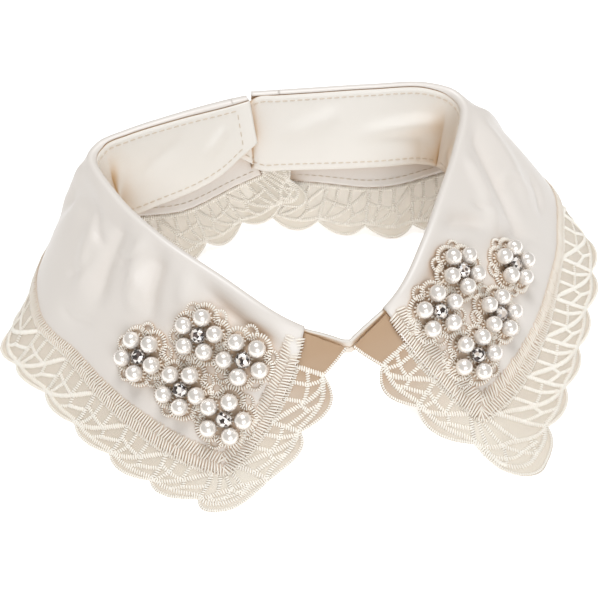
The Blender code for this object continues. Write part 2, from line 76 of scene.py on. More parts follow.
laceCut = {
    "left": {
        "front": 15.5, "neck": 20.5, "hem": (17.5, 24.1, 19.5),
        "cuts": ((13.0, 7.0), (36.5, 5.0), (57.5, 1.2)), "corner": 12.5, "swell": 0.4,
        "pitch": 19.2,
    },
    "right": {
        "front": 13.5, "neck": 17.5, "hem": (24.0, 25.0, 19.5),
        "cuts": ((16.5, 5.0), (38.5, 3.8), (61.0, 4.5)), "corner": 25.0, "swell": 2.0,
        "pitch": 21.5,
    },
    "side": 95.0, "toBack": 60.0, "backLace": 15.0, "backEase": 2.0, "cornerRound": 7.0,
    "backReach": 5.75, "cornerFan": 5.0, "backPitch": 21.0, "lobeDepth": 4.2,
}


def smooth(rows, knots, at):
    # each column of a table as a cubic curve through its values
    step = np.diff(knots)[:, None]
    slope = np.diff(rows, axis=0) / step
    inner = (slope[:-1] * step[1:] + slope[1:] * step[:-1]) / (step[:-1] + step[1:])
    tangent = np.vstack([slope[:1], inner, slope[-1:]])
    at = np.clip(at, 0, 1)
    row = np.clip(np.searchsorted(knots, at, side="right") - 1, 0, len(knots) - 2)
    t = ((at - knots[row]) / (knots[row + 1] - knots[row]))[:, None]
    span = step[row]
    return (
        (2 * t**3 - 3 * t**2 + 1) * rows[row]
        + (t**3 - 2 * t**2 + t) * span * tangent[row]
        + (3 * t**2 - 2 * t**3) * rows[row + 1]
        + (t**3 - t**2) * span * tangent[row + 1]
    )


def hinge(height, width):
    # flat on the table, then a soft bend up
    bend = (height + width) ** 2 / (4 * width)
    return np.where(height < -width, 0, np.where(height > width, height, bend))


def unit(vectors):
    return vectors / np.linalg.norm(vectors, axis=-1, keepdims=True)


def blend(first, last, share):
    return first * (1 - share) + last * share


def lengths(points):
    # distance of each point from the first, along the line
    return np.concatenate([[0], np.cumsum(np.linalg.norm(np.diff(points, axis=0), axis=1))])


def pairs(first, second):
    return np.stack([first, second], axis=-1)


def middles(count, whole):
    return (np.arange(count) + 0.5) / count * whole


def readLine(at, knots, rows):
    # each column of a table at these places
    return np.stack([np.interp(at, knots, column) for column in np.transpose(rows)], axis=-1)


def squared(vectors, out):
    # unit vectors with nothing left along the normals
    return unit(vectors - (vectors * out).sum(axis=-1, keepdims=True) * out)


def turned(first, second, angle):
    cos, sin = np.cos(angle), np.sin(angle)
    return first * cos + second * sin, second * cos - first * sin


class Leaf:
    def __init__(self, table, facing, cut):
        self.rows = np.array(table, float)
        self.rows[:, [0, 3, 6]] -= middle[0]
        self.rows[:, [1, 4, 7]] -= middle[1]
        self.facing = facing
        self.cut = cut
        fold = np.linalg.norm(np.diff(self.rows[:, 0:3], axis=0), axis=1)
        hem = np.linalg.norm(np.diff(self.rows[:, 6:9], axis=0), axis=1)
        self.knots = np.concatenate([[0], np.cumsum(fold + hem)]) / (fold + hem).sum()
        self.u = np.linspace(0, 1, 401)
        grid = self.point(self.u[:, None], np.linspace(0, 1, 41)[None])
        self.width = np.linalg.norm(np.diff(grid, axis=1), axis=2).sum(axis=1)
        self.along = lengths(grid[:, -1])
        self.hem = self.along[-1]

    def point(self, u, v):
        u, v = np.broadcast_arrays(np.asarray(u, float), np.asarray(v, float))
        read = smooth(self.rows, self.knots, u.ravel()).reshape(u.shape + (self.rows.shape[1],))
        rest = np.clip(read[..., 9], 0, 1)
        fold, centre, hem = read[..., 0:3], read[..., 3:6], read[..., 6:9]
        edge = cloth["edgeLift"] * (1 - rest)
        lift = cloth["laceWall"] / 2 * rest + edge
        hem = hem + np.stack([0 * lift, 0 * lift, edge - cloth["sink"] * rest], axis=-1)
        pull = 2 * centre - (fold + hem) / 2
        t = v[..., None]
        at = (1 - t) ** 2 * fold + 2 * t * (1 - t) * pull + t**2 * hem
        at[..., 2] = lift + hinge(at[..., 2] - lift, cloth["flatten"] * rest + cloth["soften"])
        return at

    def normal(self, u, v):
        small = 1e-3
        u, v = np.broadcast_arrays(np.asarray(u, float), np.asarray(v, float))
        low, high = np.clip(u - small, 0, 1), np.clip(u + small, 0, 1)
        across = self.point(high, v) - self.point(low, v)
        over = cloth["overhang"]
        up, down = np.clip(v - small, 0, over), np.clip(v + small, 0, over)
        return unit(np.cross(across, self.point(u, down) - self.point(u, up))) * self.facing

    def spot(self, along, height):
        u = np.interp(along, self.along, self.u)
        return u, np.clip(1 - height / np.interp(u, self.u, self.width), 0, cloth["overhang"])

    def place(self, along, height, out=0.0):
        u, v = self.spot(along, height)
        return self.point(u, v) + self.normal(u, v) * np.asarray(out)[..., None]

    def near(self, along, height, across, up):
        # real distances from a place, as chart distances along and up the leaf
        steps = (
            self.place(along + 0.5, height) - self.place(along - 0.5, height),
            self.place(along, height + 0.5) - self.place(along, height - 0.5),
        )
        out = self.normal(*self.spot(along, height))
        side = squared(steps[0], out)
        rise = np.cross(out, side)
        turned = np.array([[step.dot(side), step.dot(rise)] for step in steps]).T
        move = np.linalg.solve(turned, np.array([across, up]))
        return along + move[0], height + move[1]

    def high(self, along):
        u = np.interp(along, self.along, self.u)
        return np.interp(u, self.u, self.width)

    def laceDepth(self, along):
        places = (self.cut["front"], laceCut["side"], self.hem - laceCut["toBack"])
        return np.interp(along, places, self.cut["hem"])

    def roll(self, u, angle):
        radius = smooth(self.rows, self.knots, u)[:, 10:11]
        out = self.normal(u, 0 * u)
        down = unit(self.point(u, 0 * u + 0.01) - self.point(u, 0 * u))
        turn = math.radians(angle)
        ring = math.cos(turn) * out - math.sin(turn) * down
        return self.point(u, 0 * u) + radius * (ring - out)


leaves = {
    "left": Leaf(leftTable, 1, laceCut["left"]),
    "right": Leaf(rightTable, -1, laceCut["right"]),
}
print("leaf surfaces ready:", {side: round(leaf.hem) for side, leaf in leaves.items()})


# Finishes: node groups, then a material from each dictionary.
def newGroup(name, inputs, outputs):
    group = bpy.data.node_groups.new(name, "ShaderNodeTree")
    for label, value in inputs.items():
        kind = "NodeSocketColor" if hasattr(value, "__len__") else "NodeSocketFloat"
        group.interface.new_socket(label, in_out="INPUT", socket_type=kind).default_value = value
    for label, kind in outputs.items():
        group.interface.new_socket(label, in_out="OUTPUT", socket_type=kind)
    given, result = group.nodes.new("NodeGroupInput"), group.nodes.new("NodeGroupOutput")
    return group, given.outputs, result.inputs


def setInput(tree, socket, value):
    # another node's socket is linked, a colour gets its alpha, any other value is set
    if isinstance(value, bpy.types.NodeSocket):
        tree.links.new(value, socket)
    else:
        socket.default_value = (*value, 1) if isinstance(value, tuple) else value


def addNode(tree, kind, inputs=(), **settings):
    node = tree.nodes.new("ShaderNode" + kind)
    for label, value in settings.items():
        setattr(node, label, value)
    for label, value in dict(inputs).items():
        setInput(tree, node.inputs[label], value)
    return node


def mathNode(tree, operation, *values):
    return addNode(tree, "Math", dict(enumerate(values)), operation=operation).outputs[0]


def mixNode(tree, *values):
    return addNode(tree, "Mix", zip(("Factor", "A", "B"), values), data_type="RGBA").outputs["Result"]


def weaveGroup():
    # over-and-under threads on the cloth's own map, in centimetres
    group, given, result = newGroup(
        "thread weave",
        {"Threads": 40.0, "Slub": 0.3},
        {"Height": "NodeSocketFloat", "Cover": "NodeSocketFloat"},
    )
    place = addNode(group, "UVMap", uv_map="cloth").outputs[0]
    slub = addNode(group, "TexNoise", {"Scale": 5.0, "Detail": 3.0, "Vector": place}).outputs["Fac"]
    split = addNode(group, "SeparateXYZ", {0: place}).outputs
    ridges = []
    for axis in (0, 1):
        shifted = mathNode(group, "MULTIPLY", slub, given["Slub"])
        turns = mathNode(group, "MULTIPLY", split[axis], given["Threads"])
        phase = mathNode(group, "ADD", turns, shifted)
        wave = mathNode(group, "SINE", mathNode(group, "MULTIPLY", phase, math.tau))
        ridges.append(mathNode(group, "ABSOLUTE", wave))
    height = mathNode(group, "MAXIMUM", *ridges)
    cover = mathNode(group, "ADD", mathNode(group, "MULTIPLY", ridges[0], 0.5), 0.5)
    group.links.new(height, result["Height"])
    group.links.new(mathNode(group, "MULTIPLY", cover, height), result["Cover"])
    return group


def toneGroup():
    # slow change of colour over a piece
    group, given, result = newGroup(
        "soft tone",
        {"Scale": 30.0, "Light": (1, 1, 1, 1), "Dark": (0.5, 0.5, 0.5, 1)},
        {"Color": "NodeSocketColor", "Mask": "NodeSocketFloat"},
    )
    place = addNode(group, "TexCoord").outputs["Object"]
    inputs = {"Detail": 4.0, "Vector": place, "Scale": given["Scale"]}
    noise = addNode(group, "TexNoise", inputs).outputs["Fac"]
    group.links.new(mixNode(group, noise, given["Dark"], given["Light"]), result["Color"])
    group.links.new(noise, result["Mask"])
    return group


weave = weaveGroup()
tone = toneGroup()


def newFinish(name, settings):
    made = bpy.data.materials.new(name)
    made.use_nodes = True
    shader = made.node_tree.nodes["Principled BSDF"].inputs
    for label, value in settings.items():
        setInput(made.node_tree, shader[label], value)
    return made, made.node_tree, shader


def finishFor(name, look):
    made, tree, shader = newFinish(name, look["shader"])
    tones = {"Scale": look["toneScale"], "Light": look["light"], "Dark": look["dark"]}
    spread = addNode(tree, "Group", tones, node_tree=tone).outputs
    colour = spread["Color"]
    # painted shadow: an attribute tans and darkens the sheer ground where shade is seen through it
    if "paintedShadow" in look:  # darker and warmer where the piece says so
        paintedShadow = addNode(tree, "Attribute", attribute_name="paintedShadow").outputs["Fac"]
        colour = mixNode(tree, paintedShadow, colour, look["paintedShadow"])
    # painted shade: an ambient-occlusion mask mixes a darker tan into recesses, creases and between
    # parts
    if "paintedShade" in look:  # warmer where little light gets in
        reach = {"Distance": look["paintedShadeReach"] * mm}
        nearby = addNode(tree, "AmbientOcclusion", reach, samples=6).outputs["AO"]
        low, high = look["paintedShadeRange"]
        openness = addNode(tree, "MapRange", {"Value": nearby, "From Min": low, "From Max": high})
        colour = mixNode(tree, openness.outputs["Result"], look["paintedShade"], colour)
    tree.links.new(colour, shader["Base Color"])
    low, high = look["roughness"]
    rough = addNode(tree, "MapRange", {"Value": spread["Mask"], "To Min": low, "To Max": high})
    tree.links.new(rough.outputs["Result"], shader["Roughness"])
    if "bump" not in look:
        return made
    if "threads" in look:
        threads = addNode(tree, "Group", {"Threads": look["threads"]}, node_tree=weave).outputs
        height = threads["Height"]
    else:
        place = addNode(tree, "TexCoord").outputs["Object"]
        height = addNode(tree, "TexNoise", {"Scale": look["grain"], "Vector": place}).outputs["Fac"]
    if "cover" in look:
        least, low, high = look["cover"]
        cover = {"Value": threads["Cover"], "From Min": least, "To Min": low, "To Max": high}
        covered = addNode(tree, "MapRange", cover).outputs["Result"]
        # where the painted shadow is, the ground is also drawn more opaque
        shadowOpacity = mathNode(tree, "MULTIPLY", paintedShadow, look["paintedShadowCover"])
        tree.links.new(mathNode(tree, "MAXIMUM", covered, shadowOpacity), shader["Alpha"])
    relief = {"Height": height, "Strength": look["bump"], "Distance": look["bumpDepth"] * mm}
    tree.links.new(addNode(tree, "Bump", relief).outputs["Normal"], shader["Normal"])
    return made


# the hollow-shade colours in these looks are painted shade, mixed in where little light gets in
satinLook = {
    "light": (0.8, 0.76, 0.72), "dark": (0.73, 0.675, 0.625), "paintedShade": (0.6, 0.43, 0.29),
    "paintedShadeReach": 18, "paintedShadeRange": (0.2, 0.85), "toneScale": 14, "roughness": (0.3, 0.42),
    "threads": 45, "bump": 0.12, "bumpDepth": 0.05,
    "shader": {"Sheen Weight": 0.2, "Sheen Roughness": 0.35},
}
bandLook = {
    **satinLook,
    "light": (0.86, 0.825, 0.78), "dark": (0.8, 0.755, 0.69), "paintedShade": (0.62, 0.38, 0.17),
    "paintedShadeReach": 24, "paintedShadeRange": (0.3, 0.85), "toneScale": 18, "roughness": (0.34, 0.46),
}
# the tan colour in this look is painted shadow, seen through the sheer ground
organzaLook = {
    "light": (0.9, 0.85, 0.76), "dark": (0.8, 0.73, 0.62), "paintedShadow": (0.5, 0.33, 0.2),
    "paintedShadowCover": 0.92, "toneScale": 60, "roughness": (0.5, 0.65), "threads": 22, "bump": 0.4,
    "bumpDepth": 0.1,
    "cover": (0.3, 0.42, 0.85),  # least thread that counts, thinnest and thickest cover
    "shader": {"Sheen Weight": 0.1},
}
threadLook = {
    "light": (0.97, 0.94, 0.88), "dark": (0.9, 0.86, 0.78), "paintedShade": (0.66, 0.52, 0.38),
    "paintedShadeReach": 2.5, "paintedShadeRange": (0.1, 0.6), "toneScale": 420, "roughness": (0.38, 0.55),
    "grain": 2500, "bump": 0.35, "bumpDepth": 0.12,
    "shader": {"Sheen Weight": 0.25, "Sheen Roughness": 0.4},
}
pearlLook = {
    "light": (0.95, 0.91, 0.87), "dark": (0.9, 0.84, 0.78), "toneScale": 260,
    "roughness": (0.22, 0.3),
    "shader": {"Metallic": 0.45, "Coat Weight": 0.8, "Coat Roughness": 0.14},
}
clawLook = {
    "light": (0.6, 0.56, 0.52), "dark": (0.26, 0.24, 0.23), "toneScale": 900,
    "roughness": (0.18, 0.35),
    "shader": {"Metallic": 1.0},
}
bandThread = {
    "light": (0.92, 0.88, 0.81), "dark": (0.82, 0.76, 0.67), "paintedShade": (0.62, 0.45, 0.3),
    "paintedShadeRange": (0.2, 0.75),
}
# painted shade for the flower stitching, tan where the pearls crowd it
flowerPaintedShade = {"paintedShade": (0.66, 0.46, 0.28), "paintedShadeRange": (0.15, 0.7)}
# painted shade: the topstitch thread is darker than the other threads, standing in for the shadow along
# its stitch holes
rowShadeTones = {"light": (0.72, 0.64, 0.54), "dark": (0.6, 0.52, 0.43)}
satin = finishFor("ivory satin", satinLook)
bandSatin = finishFor("neckband satin", bandLook)
organza = finishFor("sheer organza", organzaLook)
laceThread = finishFor("lace thread", threadLook)
satinThread = finishFor("embroidery thread", {**threadLook, **bandThread})
flowerThread = finishFor("flower thread", {**threadLook, **flowerPaintedShade})
rowThread = finishFor("topstitch thread", {**threadLook, **rowShadeTones})
pearlCoat = finishFor("pearl coat", pearlLook)
darkSilver = finishFor("dark silver", clawLook)
# the facet colours below are painted reflections: dark and bright facets stand in for what a cut stone
# reflects
crystalLook = {
    "shader": {"Metallic": 0.15, "Roughness": 0.1, "Coat Weight": 1.0, "Coat Roughness": 0.02},
    "stops": (
        (0.0, (0.03, 0.025, 0.025)),
        (0.35, (0.16, 0.12, 0.11)),
        (0.6, (0.7, 0.6, 0.52)),
        (1.0, (1.0, 0.96, 0.92)),
    ),
}


def crystalFinish():
    made, tree, shader = newFinish("cut crystal", crystalLook["shader"])
    paintedGlint = addNode(tree, "Attribute", attribute_name="paintedGlint").outputs["Fac"]
    ramp = addNode(tree, "ValToRGB", {"Fac": paintedGlint})
    elements, stops = ramp.color_ramp.elements, crystalLook["stops"]
    for position, _ in stops[1:-1]:
        elements.new(position)
    for element, (position, colour) in zip(elements, stops):
        element.position, element.color = position, (*colour, 1)
    tree.links.new(ramp.outputs["Color"], shader["Base Color"])
    return made


crystal = crystalFinish()
print("finishes ready:", len(bpy.data.materials))


# Ways of making a piece.
def addObject(name, data):
    made = bpy.data.objects.new(name, data)
    bpy.context.collection.objects.link(made)
    return made


def meshFrom(bm, name):
    mesh = bpy.data.meshes.new(name)
    bm.to_mesh(mesh)
    bm.free()
    return mesh


def addPiece(name, mesh, finish, replaced=()):
    mesh.name = name
    mesh.materials.clear()
    mesh.materials.append(finish)
    piece = addObject(name, mesh)
    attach(piece, "root")
    if replaced:
        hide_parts(*replaced)
    return piece


def gridMesh(name, points, chart, paintedShadow=None):
    # a sheet of quads moved onto a grid of points, with the cloth's own map in centimetres
    across, down = points.shape[0] - 1, points.shape[1] - 1
    bm = bmesh.new()
    bmesh.ops.create_grid(bm, x_segments=across, y_segments=down, size=0.5)
    layer = bm.loops.layers.uv.new("cloth")
    spots = {}
    for vert in bm.verts:
        spot = (round((vert.co.x + 0.5) * across), round((vert.co.y + 0.5) * down))
        spots[vert.index] = spot
        vert.co = Vector(points[spot]) * mm
    for face in bm.faces:
        for loop in face.loops:
            loop[layer].uv = chart[spots[loop.vert.index]] * 0.1
    mesh = meshFrom(bm, name)
    mesh.shade_smooth()
    # an optional painted-shadow strength at each point
    if paintedShadow is not None:
        shade = mesh.attributes.new("paintedShadow", "FLOAT", "POINT")
        shade.data.foreach_set("value", [paintedShadow[spots[index]] for index in range(len(mesh.vertices))])
    return mesh


def giveWall(piece, wall):
    solidify = piece.modifiers.new("wall", "SOLIDIFY")
    solidify.thickness = wall * mm
    solidify.offset = 0
    solidify.use_even_offset = False


def copyMesh(name, template, spots):
    # the template once for each row of spots: origin, side, way, out and sizes
    origin, side, way, out, size = (np.concatenate(part) for part in zip(*spots))
    base = meshFrom(template, name)
    base.shade_smooth()
    maker = addObject(name + "Maker", base)
    array = maker.modifiers.new("copies", "ARRAY")
    array.use_relative_offset = False
    array.count = len(origin)
    ready = maker.evaluated_get(bpy.context.evaluated_depsgraph_get())
    mesh = bpy.data.meshes.new_from_object(ready)
    bpy.data.objects.remove(maker, do_unlink=True)
    flat = np.empty(len(mesh.vertices) * 3)
    mesh.vertices.foreach_get("co", flat)
    local = flat.reshape(len(origin), -1, 3) * size[:, None, :]
    ways = np.stack([side, way, out], axis=1)[:, None]
    placed = origin[:, None] + (local[..., None] * ways).sum(axis=2)
    mesh.vertices.foreach_set("co", (placed * mm).ravel())
    mesh.update()
    return mesh


def copyPiece(name, template, spots, finish, replaced=()):
    return addPiece(name, copyMesh(name, template, spots), finish, replaced)


def ball(around, along, turned=False):
    bm = bmesh.new()
    bmesh.ops.create_uvsphere(bm, u_segments=around, v_segments=along, radius=0.5)
    if turned:  # poles to the sides, so that one copy is one stitch
        bmesh.ops.rotate(bm, verts=bm.verts, matrix=Matrix.Rotation(math.pi / 2, 3, "Y"))
    return bm


# What a kind of stitch doesn't say, and how much stitches differ.
sewing = {"slant": 0.2, "loose": 0.06, "look": 0.2, "widthSpread": 0.05, "liftSpread": 0.03}


def stitches(leaf, chart, sew, width=None):
    # stitches side by side along a line on the leaf, each one lying across it
    sew = {**sewing, **sew}
    length = lengths(leaf.place(*chart.T))
    count = max(2, round(length[-1] / sew["pitch"]))
    at = middles(count, length[-1])
    along, height = readLine(at, length, chart).T
    ahead, behind = readLine(at + sew["look"], length, chart), readLine(at - sew["look"], length, chart)
    out = leaf.normal(*leaf.spot(along, height))
    way = squared(leaf.place(*ahead.T) - leaf.place(*behind.T), out)
    slant = sew["slant"] + rng.normal(0, sew["loose"], count)
    side, way = turned(np.cross(way, out), way, slant[:, None])
    wide = np.full(count, sew["width"]) if width is None else np.interp(at, length, width)
    wide = wide * rng.normal(1, sew["widthSpread"], count)
    size = np.stack([wide, np.full(count, sew["thread"]), np.full(count, sew["high"])], axis=1)
    lift = sew["out"] + rng.normal(0, sew["liftSpread"], count)
    return leaf.place(along, height, lift), side, way, out, size


def line(*knots, steps=24):
    reach = np.linspace(0, len(knots) - 1, steps * (len(knots) - 1) + 1)
    return readLine(reach, range(len(knots)), knots)


def creaseDepth(creases, x, y, margin, scale=(1, 1), bend=0):
    # soft creases, each from one place to another, with a half width and a depth
    depth = 0 * x
    for startX, startY, endX, endY, wide, deep in creases:
        run = (endX - startX) * scale[0], (endY - startY) * scale[1]
        span = math.hypot(*run)
        across = (x - startX) * scale[0], (y - startY) * scale[1]
        t = (across[0] * run[0] + across[1] * run[1]) / span**2
        off = (across[0] * run[1] - across[1] * run[0]) / span + bend * np.sin(3 * np.clip(t, 0, 1))
        fade = np.clip(np.minimum(t + margin, 1 + margin - t) / (2 * margin), 0, 1)
        depth = depth + deep * np.exp(-((off / wide) ** 2)) * fade**2 * (3 - 2 * fade)
    return depth


# Satin leaves.
satinLeaf = {
    "across": 190, "down": 46, "rollSteps": 8, "rollRow": 0.4, "endStrip": 2.4,
    "endGaps": (0.05, 0.6), "endAcross": 16, "endDown": 5,
    "creaseFade": (7, 6),  # from the lace and from the fold
    "creaseBend": 2.0, "creaseMargin": 0.25, "deepen": 2.9,
    # start along, height; end along, height; half width; depth, inwards where negative
    "leftCreases": (
        (106, 78, 97, 48, 3.8, -0.8), (86, 80, 76, 56, 4.0, -0.9),
        (95, 78, 88, 60, 3.0, 0.6), (66, 77, 30, 71, 4.4, -1.1),
        (73, 78, 66, 66, 2.8, 0.4), (118, 74, 106, 46, 3.4, 0.5),
        (108, 36, 93, 40, 2.3, -0.28), (113, 46, 112, 60, 2.0, -0.35),
        (118, 70, 109, 64, 2.0, -0.4), (90, 66, 84, 54, 1.7, 0.35),
        (101, 64, 92, 70, 1.6, -0.3), (112, 72, 140, 46, 5.5, -0.9),
        (134, 66, 150, 34, 4.0, 0.6), (150, 66, 168, 36, 5.0, -0.8),
        (170, 60, 186, 30, 3.6, 0.6), (188, 58, 200, 30, 4.6, -0.7),
        (208, 56, 226, 34, 3.4, 0.5), (20, 70, 44, 74, 3.4, 0.4),
    ),
    "rightCreases": (
        (122, 82, 95, 48, 3.8, -0.8), (109, 82, 90, 60, 3.2, 0.7),
        (68, 82, 86, 66, 3.6, -0.9), (60, 76, 26, 76, 4.4, -0.6),
        (128, 74, 112, 44, 3.8, 0.5), (123, 44, 114, 38, 2.0, -0.45),
        (100, 64, 92, 72, 1.8, -0.35), (112, 60, 118, 52, 1.8, 0.35),
        (86, 58, 100, 40, 3.2, -0.4), (134, 72, 152, 40, 3.8, 0.6),
        (152, 70, 170, 38, 5.0, -0.9), (176, 66, 190, 34, 3.8, 0.6),
        (196, 62, 210, 34, 4.8, -0.7), (218, 60, 236, 36, 3.6, 0.5),
        (240, 56, 252, 34, 4.0, -0.5), (24, 74, 46, 80, 3.2, 0.4),
    ),
}


def border(leaf, inset):
    front = leaf.cut["front"] + inset
    back = leaf.hem - laceCut["backLace"] - laceCut["backEase"] * inset
    topFront = leaf.cut["neck"] + inset
    return {
        "frontTop": (topFront, leaf.high(topFront)),
        "frontCorner": (front, leaf.laceDepth(front) + inset),
        "backCorner": (back, leaf.laceDepth(back) + inset), "backTop": (back, leaf.high(back)),
    }


def frontLine(leaf, inset, height):
    at = border(leaf, inset)
    (lowPlace, low), (topPlace, top) = at["frontCorner"], at["frontTop"]
    return np.interp(height, (low, top), (lowPlace, topPlace))


def leafChart(leaf, inset, across, down):
    at = border(leaf, inset)
    (front, _), (back, _) = at["frontCorner"], at["backCorner"]
    share = np.linspace(0, 1, across + 1)[:, None]
    top = blend(at["frontTop"][0], back, share)
    low = leaf.laceDepth(blend(front, back, share)) + inset
    height = blend(leaf.high(top), low, np.linspace(0, 1, down + 1)[None])
    return top, blend(frontLine(leaf, inset, height), back, share), height


def makeLeaf(side):
    leaf = leaves[side]
    angles = np.linspace(cloth["rollAngle"], 0, satinLeaf["rollSteps"] + 1)[:-1]

    def folded(name, places, beyond, chart, points):
        # a sheet with the rolled fold above its first row
        u = np.interp(places, leaf.along, leaf.u)
        rolled = np.stack([leaf.roll(u, angle) for angle in angles], axis=1)
        over = pairs(places[:, None] + 0 * beyond, beyond)
        points, chart = np.concatenate([rolled, points], axis=1), np.concatenate([over, chart], axis=1)
        return gridMesh(name, points, chart)

    name = f"satin_leaf_{side}"
    top, along, height = leafChart(leaf, cloth["seamGap"] / 2, satinLeaf["across"], satinLeaf["down"])
    nearLace, nearFold = satinLeaf["creaseFade"]
    fade = np.clip((height - height[:, -1:]) / nearLace, 0, 1)
    fade = fade * np.clip((height[:, :1] - height) / nearFold, 0, 1)
    margin, bend = satinLeaf["creaseMargin"], satinLeaf["creaseBend"]
    depth = creaseDepth(satinLeaf[f"{side}Creases"], along, height, margin, bend=bend) * fade
    beyond = height[:, :1] + satinLeaf["rollRow"] * np.arange(len(angles), 0, -1)
    points = leaf.place(along, height, depth * satinLeaf["deepen"])
    mesh = folded(name, top[:, 0], beyond, pairs(along, height), points)
    # the fold goes on over the lace to the leaf's end
    near, far = satinLeaf["endGaps"]
    further = np.linspace(top[-1, 0] + near, leaf.hem - far, satinLeaf["endAcross"])
    rise = leaf.high(further)[:, None] - np.linspace(0, satinLeaf["endStrip"], satinLeaf["endDown"])
    strip = pairs(further[:, None] + 0 * rise, rise)
    end = folded("foldEnd", further, beyond[: len(further)], strip, leaf.place(strip[..., 0], rise))
    both = bmesh.new()
    both.from_mesh(mesh)
    both.from_mesh(end)
    both.to_mesh(mesh)
    both.free()
    bpy.data.meshes.remove(end)
    piece = addPiece(name, mesh, satin, [f"leaf_{side}"])
    giveWall(piece, cloth["satinWall"])


makeLeaf("left")
makeLeaf("right")
print("satin leaves made")


# Neckband.
neckband = {
    "across": 320, "down": 22,
    # place round the neck, inward and downward shift of the top, drop, how far inward it leans
    "table": (
        (-1.00, 0, 0, 15.5, 7.5), (-0.985, 0, 0, 17.0, 7.4),
        (-0.95, 0, 0, 20.0, 7.5), (-0.9, 0, 0, 24.5, 8.3),
        (-0.84, 0, 0, 28.3, 8.8), (-0.74, 0, 0, 31.6, 8.4),
        (-0.66, 0, 0, 32.6, 7.5), (-0.58, 0, 0, 32.2, 4.9),
        (-0.45, 0, 0, 31.0, 0.0), (-0.3, 0, 0, 30.0, -2.0),
        (-0.15, 0, 0, 25.0, -2.6), (-0.08, 0, 0, 15.5, -1.8),
        (-0.04, 0, -1.3, 8.5, -1.2), (0.00, 0, -1.6, 5.0, -0.8),
        (0.04, 0, -1.3, 8.5, -1.2), (0.08, 0, 0, 15.5, -1.8),
        (0.15, 0, 0, 25.0, -2.6), (0.3, 0, 0, 30.5, -2.0),
        (0.45, 0, 0, 31.5, 1.0), (0.58, 0, 0, 31.5, 6.6),
        (0.66, 0, 0, 30.8, 10.2), (0.78, 0, 0, 29.8, 12.2),
        (0.9, 0, 0, 29.5, 11.2), (0.95, 0, 0, 29.5, 10.6),
        (0.985, 0, 0, 29.5, 10.0), (1.02, 2.05, 3.0, 22.0, 6.2),
        (1.07, 2.05, 3.0, 17.5, 4.8), (1.12, 2.05, 3.0, 14.0, 4.2),
    ),
    # place, share down; place, share down; half width in mm; depth in mm
    "creases": (
        (0.6, 0.42, 0.76, 0.55, 3.2, 0.8), (0.62, 0.7, 0.74, 0.62, 3.6, -0.6),
        (0.84, 0.3, 0.93, 0.52, 3.4, 0.5), (-0.8, 0.25, -0.7, 0.55, 4.0, -0.7),
        (-0.66, 0.35, -0.6, 0.7, 3.6, 0.6), (-0.52, 0.3, -0.44, 0.62, 4.2, -0.6),
        (-0.34, 0.4, -0.24, 0.6, 3.6, 0.5), (0.22, 0.35, 0.34, 0.62, 4.0, -0.5),
        (0.42, 0.45, 0.5, 0.7, 3.8, 0.6), (-0.92, 0.35, -0.86, 0.6, 3.0, 0.4),
    ),
    "deepen": 1.8, "creaseTall": 33, "creaseMargin": 0.3, "edgeEase": 0.18, "topRow": 2.4,
    "lowRow": 2.6,
}


def neckTop(place):
    if place > 1:
        return leaves["left"].point(np.array([2 - place]), np.array([0.0]))[0]
    leaf, u = (leaves["left"], -place) if place < 0 else (leaves["right"], place)
    last = leaf.roll(np.array([u]), cloth["rollAngle"])[0]
    further = leaf.roll(np.array([u]), cloth["rollAngle"] + cloth["rollStep"])[0]
    return last + unit(further - last) * cloth["edgeGap"]


class Band:
    def __init__(self):
        rows = np.array(neckband["table"], float)
        knots = (rows[:, 0] - rows[0, 0]) / (rows[-1, 0] - rows[0, 0])
        read = smooth(rows, knots, np.linspace(0, 1, neckband["across"] + 1))
        self.place = read[:, 0]
        top = np.array([neckTop(place) for place in self.place])
        tangent = np.gradient(top[:, :2], axis=0)
        self.inward = unit(np.stack([-tangent[:, 1], tangent[:, 0], 0 * tangent[:, 0]], axis=1))
        down = np.array([0, 0, -1.0])
        self.top = top + self.inward * read[:, 1:2] + down * read[:, 2:3]
        self.low = self.top + self.inward * read[:, 4:5] + down * read[:, 3:4]
        self.tall = np.linalg.norm(self.low - self.top, axis=1)
        self.length = lengths(self.top)
        around = np.gradient(self.top, axis=0)
        self.out = unit(np.cross(self.low - self.top, around))
        self.out *= np.sign((self.out * self.inward).sum(axis=1, keepdims=True))

    def depth(self, drop):
        # creases at each column for an array of shares down
        place = np.broadcast_to(self.place[:, None], drop.shape)
        scale = self.length[-1] / (self.place[-1] - self.place[0]), neckband["creaseTall"]
        deep = creaseDepth(neckband["creases"], place, drop, neckband["creaseMargin"], scale)
        edge = np.clip(np.minimum(drop, 1 - drop) / neckband["edgeEase"], 0, 1)
        return neckband["deepen"] * deep * edge

    def at(self, index, drop):
        # a point by fractional column and share down, with its normal towards the neck
        span = np.arange(len(self.top))
        top, low, out = (readLine(index, span, part) for part in (self.top, self.low, self.out))
        return blend(top, low, drop[:, None]), out


band = Band()


def makeNeckband():
    share = np.linspace(0, 1, neckband["down"] + 1)[None]
    drop = np.broadcast_to(share, (len(band.top), neckband["down"] + 1))
    points = blend(band.top[:, None], band.low[:, None], drop[..., None])
    points = points + band.out[:, None] * band.depth(drop)[..., None]
    chart = pairs(band.length[:, None] + 0 * drop, drop * band.tall[:, None])
    mesh = gridMesh("neckband_satin", points, chart)
    piece = addPiece("neckband_satin", mesh, bandSatin, ["neckband"])
    giveWall(piece, cloth["bandWall"])


makeNeckband()
print("neckband made:", round(band.length[-1]), "mm long")


